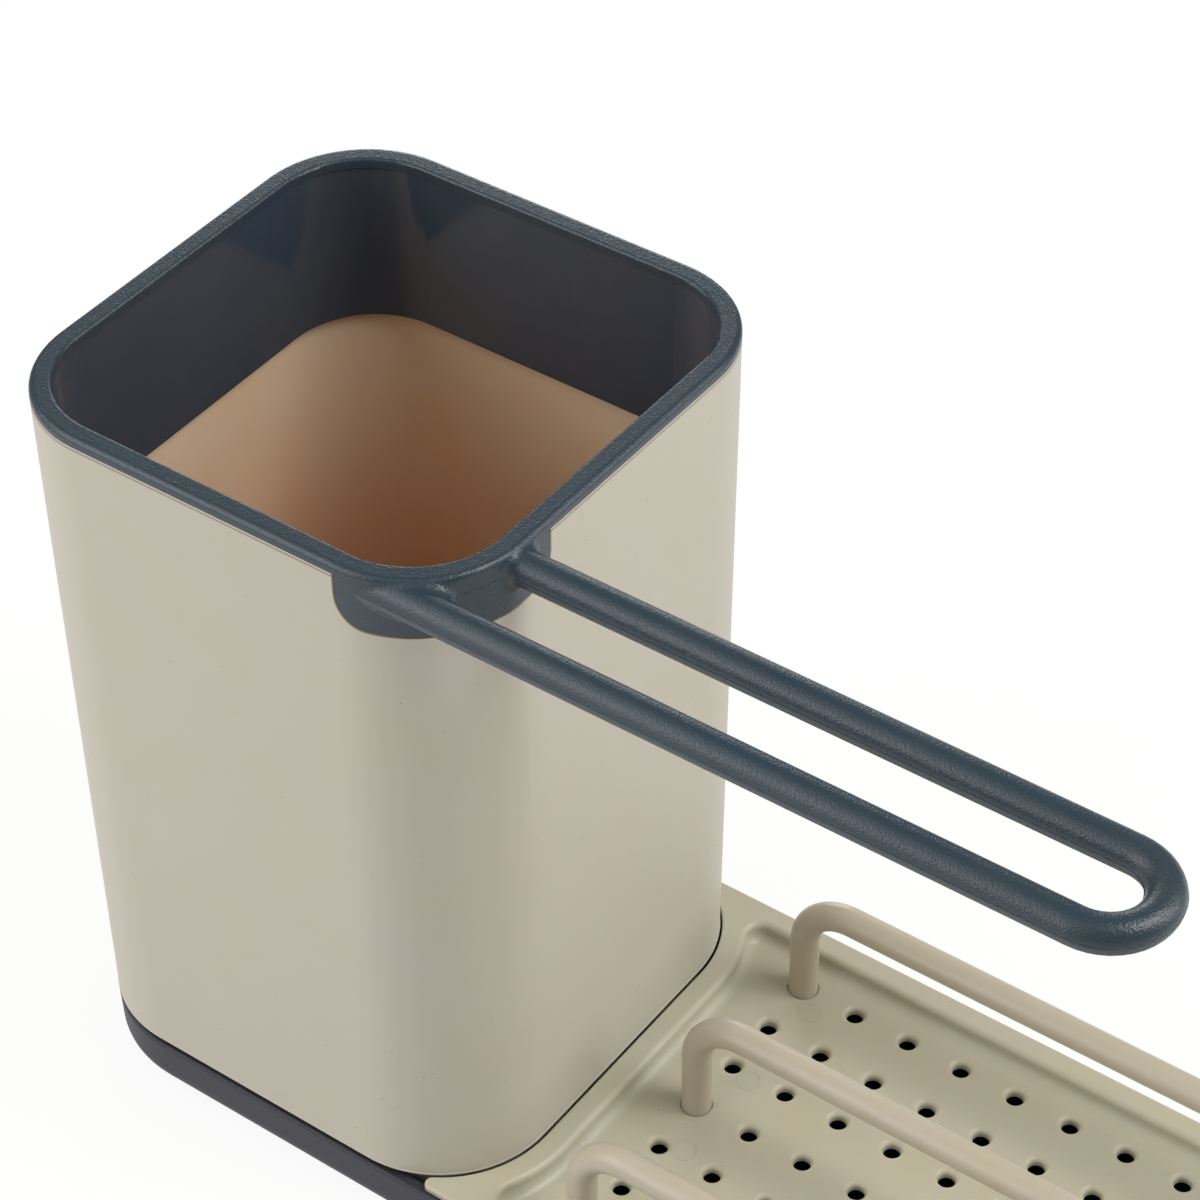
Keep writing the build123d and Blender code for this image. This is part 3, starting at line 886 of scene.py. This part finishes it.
def floor_material():
    """Pale floor that looks white to the camera and in reflections, and keeps the object's shadow near it"""
    _, _, _, stage = settings()
    material = bpy.data.materials.new("pale_floor")
    material.use_nodes = True
    tree = material.node_tree
    tree.nodes.clear()
    white = add_node(tree, "ShaderNodeEmission", color=(1, 1, 1), strength=1)
    path = add_node(tree, "ShaderNodeLightPath")
    shade = mixed_value(tree, path.outputs["Is Camera Ray"], stage.floor_shade, stage.floor_seen)
    diffuse = add_node(tree, "ShaderNodeBsdfDiffuse", (shade,))
    away = add_node(tree, "ShaderNodeVectorMath", (object_place(tree),), operation="LENGTH")
    near = add_node(tree, "ShaderNodeMapRange", value=away.outputs["Value"])
    near.inputs["From Min"].default_value = 2 * stage.floor_reach
    near.inputs["From Max"].default_value = stage.floor_reach
    reflected = maths(tree, "MULTIPLY", path.outputs["Is Glossy Ray"], near.outputs["Result"])
    seen = mixed_value(tree, near.outputs["Result"], 1, stage.floor_white)
    share = mixed_value(tree, path.outputs["Is Camera Ray"], reflected, seen)
    mixed = add_node(tree, "ShaderNodeMixShader", (share, diffuse.outputs[0], white.outputs[0]))
    output = add_node(tree, "ShaderNodeOutputMaterial")
    tree.links.new(mixed.outputs[0], output.inputs["Surface"])
    return material


def add_floor():
    """Wide plain floor under the object"""
    middle = (cad_low + cad_high) / 2
    ends = ((-FLOOR_HALF, -FLOOR_HALF), (FLOOR_HALF, -FLOOR_HALF), (FLOOR_HALF, FLOOR_HALF), (-FLOOR_HALF, FLOOR_HALF))
    corners = [(middle.x + x, middle.y + y, 0) for x, y in ends]
    mesh = bpy.data.meshes.new("floor")
    mesh.from_pydata(corners, [], [(0, 1, 2, 3)])
    mesh.materials.append(floor_material())
    floor = bpy.data.objects.new("floor", mesh)
    bpy.context.scene.collection.objects.link(floor)


def set_world():
    """White surroundings that light the object evenly and faintly"""
    _, _, _, stage = settings()
    world = bpy.data.worlds.new("studio")
    bpy.context.scene.world = world
    world.use_nodes = True
    tree = world.node_tree
    tree.nodes.clear()
    path = add_node(tree, "ShaderNodeLightPath")
    seen = maths(tree, "MAXIMUM", path.outputs["Is Camera Ray"], path.outputs["Is Transmission Ray"])
    lit = mixed_value(tree, path.outputs["Is Glossy Ray"], stage.ambient, stage.ambient_gloss)
    strength = mixed_value(tree, seen, lit, 1)
    tint = mixed_colour(tree, seen, stage.ambient_tint, (1, 1, 1))
    light = add_node(tree, "ShaderNodeBackground", color=tint, strength=strength)
    output = add_node(tree, "ShaderNodeOutputWorld")
    tree.links.new(light.outputs[0], output.inputs["Surface"])


def add_camera():
    """Camera at the photograph's angle"""
    _, _, _, stage = settings()
    data = bpy.data.cameras.new("camera")
    data.lens = stage.focal_length
    data.sensor_width = SENSOR_WIDTH
    data.shift_x, data.shift_y = stage.shift
    data.clip_start = 10 * MM
    camera = bpy.data.objects.new("camera", data)
    camera.location = stage.camera_place
    camera.rotation_euler = stage.camera_turn
    bpy.context.scene.collection.objects.link(camera)
    bpy.context.scene.camera = camera


class ORGANIZER_OT_stage(bpy.types.Operator):
    """Set up the floor, the lamps, the surroundings and the camera"""

    bl_idname = "organizer.stage"
    bl_label = "Stage"

    def execute(self, context):
        _, _, _, stage = settings()
        add_floor()
        aim = (POT_LOW + POT_HIGH) / 2
        for name, azimuth, elevation, size, power in (
            ("left_lamp", 240, 20, stage.wide_lamp, stage.left_power),
            ("side_lamp", 210, 35, stage.wide_lamp, stage.side_power),
            ("high_lamp", 255, 55, stage.wide_lamp, stage.high_power),
            ("right_lamp", 15, 50, stage.small_lamp, stage.right_power),
            ("low_lamp", 30, 20, stage.small_lamp, stage.low_power),
            ("back_lamp", 125, 12, stage.small_lamp, stage.back_power),
        ):
            add_lamp(name, aim, stage.lamp_reach, azimuth, elevation, size, power)
        set_world()
        add_camera()
        context.scene.view_settings.view_transform = "Standard"
        return {"FINISHED"}


OPERATORS = (
    ORGANIZER_OT_tray,
    ORGANIZER_OT_pot,
    ORGANIZER_OT_collar,
    ORGANIZER_OT_insert,
    ORGANIZER_OT_bars,
    ORGANIZER_OT_stage,
)


class ORGANIZER_PT_sidebar(bpy.types.Panel):
    """Lists the organizer's settings and steps"""

    bl_idname = "ORGANIZER_PT_sidebar"
    bl_label = "Sink organizer"
    bl_space_type = "VIEW_3D"
    bl_region_type = "UI"
    bl_category = "Organizer"

    def draw(self, context):
        for group in settings():
            box = self.layout.box()
            for name in group.bl_rna.properties.keys():
                if name not in ("rna_type", "name"):
                    box.prop(group, name)
        for operator in OPERATORS:
            self.layout.operator(operator.bl_idname)


GROUPS = {
    "organizer_colours": OrganizerColours,
    "organizer_sizes": OrganizerSizes,
    "organizer_finish": OrganizerFinish,
    "organizer_stage": OrganizerStage,
}
CLASSES = (*GROUPS.values(), *OPERATORS, ORGANIZER_PT_sidebar)


def register():
    """Adds the settings, the steps and the panel"""
    for entry in CLASSES:
        bpy.utils.register_class(entry)
    for name, group in GROUPS.items():
        setattr(bpy.types.Scene, name, PointerProperty(type=group))


def unregister():
    """Takes the settings, the steps and the panel away"""
    for name in GROUPS:
        delattr(bpy.types.Scene, name)
    for entry in reversed(CLASSES):
        bpy.utils.unregister_class(entry)


def main():
    """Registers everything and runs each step"""
    register()
    for operator in OPERATORS:
        module, name = operator.bl_idname.split(".")
        getattr(getattr(bpy.ops, module), name)()


if __name__ == "__main__":
    main()
